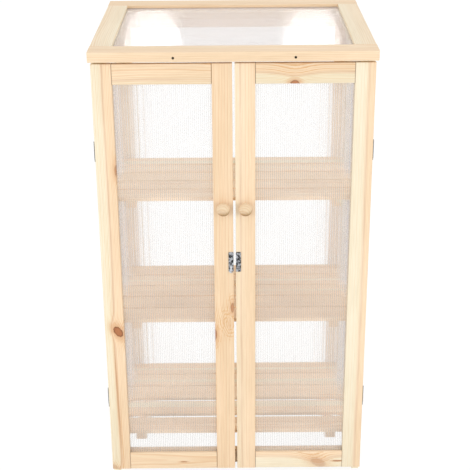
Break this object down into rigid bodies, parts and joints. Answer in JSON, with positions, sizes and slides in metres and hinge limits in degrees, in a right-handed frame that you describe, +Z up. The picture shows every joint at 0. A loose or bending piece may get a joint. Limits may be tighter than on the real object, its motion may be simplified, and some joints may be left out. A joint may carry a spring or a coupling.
{
  "type": "wooden mini greenhouse",
  "caption": "Tall narrow cabinet greenhouse of pine frames and twin-wall sheets, with a pair of doors, a sloping lift-up lid and slatted shelves.",
  "frame": {"origin": "on the floor under the middle of the footprint, knobs and rear hinges included", "axes": "+Z up, the doors face -Y, +X to the viewer's right"},
  "size_m": [0.7, 0.5218, 1.2503],
  "materials": {
    "pine": "planed, untreated",
    "turned_pine": "turned and sanded",
    "twin_wall_sheet": "clear fluted twin-wall",
    "hinge_steel": "dark plated",
    "latch_zinc": "bright zinc plated"
  },
  "bodies": {
    "cabinet": {"left_front_leg": "pine", "left_rear_leg": "pine", "left_bottom_rail": "pine", "left_top_rail": "pine", "right_front_leg": "pine", "right_rear_leg": "pine", "right_bottom_rail": "pine", "right_top_rail": "pine", "back_left_stile": "pine", "back_right_stile": "pine", "back_bottom_rail": "pine", "back_top_rail": "pine", "front_bottom_rail": "pine", "lower_shelf": "pine", "lower_left_cleat": "pine", "lower_right_cleat": "pine", "middle_shelf": "pine", "middle_left_cleat": "pine", "middle_right_cleat": "pine", "upper_shelf": "pine", "upper_left_cleat": "pine", "upper_right_cleat": "pine", "left_sheet": "twin_wall_sheet", "right_sheet": "twin_wall_sheet", "back_sheet": "twin_wall_sheet", "left_door_lower_hinge_fixed_leaf": "hinge_steel", "left_door_upper_hinge_fixed_leaf": "hinge_steel", "right_door_lower_hinge_fixed_leaf": "hinge_steel", "right_door_upper_hinge_fixed_leaf": "hinge_steel", "lid_left_hinge_fixed_leaf": "hinge_steel", "lid_right_hinge_fixed_leaf": "hinge_steel"},
    "left_door": {"left_door_outer_stile": "pine", "left_door_meeting_stile": "pine", "left_door_bottom_rail": "pine", "left_door_top_rail": "pine", "left_knob": "turned_pine", "left_door_sheet": "twin_wall_sheet", "left_door_lower_hinge_moving_leaf": "hinge_steel", "left_door_upper_hinge_moving_leaf": "hinge_steel", "latch_pivot_plate": "latch_zinc"},
    "right_door": {"right_door_outer_stile": "pine", "right_door_meeting_stile": "pine", "right_door_bottom_rail": "pine", "right_door_top_rail": "pine", "right_knob": "turned_pine", "right_door_sheet": "twin_wall_sheet", "right_door_lower_hinge_moving_leaf": "hinge_steel", "right_door_upper_hinge_moving_leaf": "hinge_steel", "latch_keeper_plate": "latch_zinc"},
    "lid": {"lid_front_rail": "pine", "lid_rear_rail": "pine", "lid_left_stile": "pine", "lid_right_stile": "pine", "lid_sheet": "twin_wall_sheet", "lid_left_hinge_moving_leaf": "hinge_steel", "lid_right_hinge_moving_leaf": "hinge_steel"},
    "latch_hook": {"latch_hook": "latch_zinc"}
  },
  "joints": [
    {"name": "left_door_hinge", "type": "hinge", "parent": "cabinet", "child": "left_door", "pos_m": [-0.3475, -0.2116, 0.5845], "axis": [0, 0, -1], "range_deg": [0, 180]},
    {"name": "right_door_hinge", "type": "hinge", "parent": "cabinet", "child": "right_door", "pos_m": [0.3475, -0.2116, 0.5845], "axis": [0, 0, 1], "range_deg": [0, 180]},
    {"name": "lid_hinge", "type": "hinge", "parent": "cabinet", "child": "lid", "pos_m": [0, 0.25865, 1.22588], "axis": [-1, 0, 0], "range_deg": [0, 100]},
    {"name": "latch_hook_pivot", "type": "hinge", "parent": "left_door", "child": "latch_hook", "pos_m": [-0.0095, -0.23465, 0.634], "axis": [0, -1, 0], "range_deg": [-60, 62]}
  ]
}
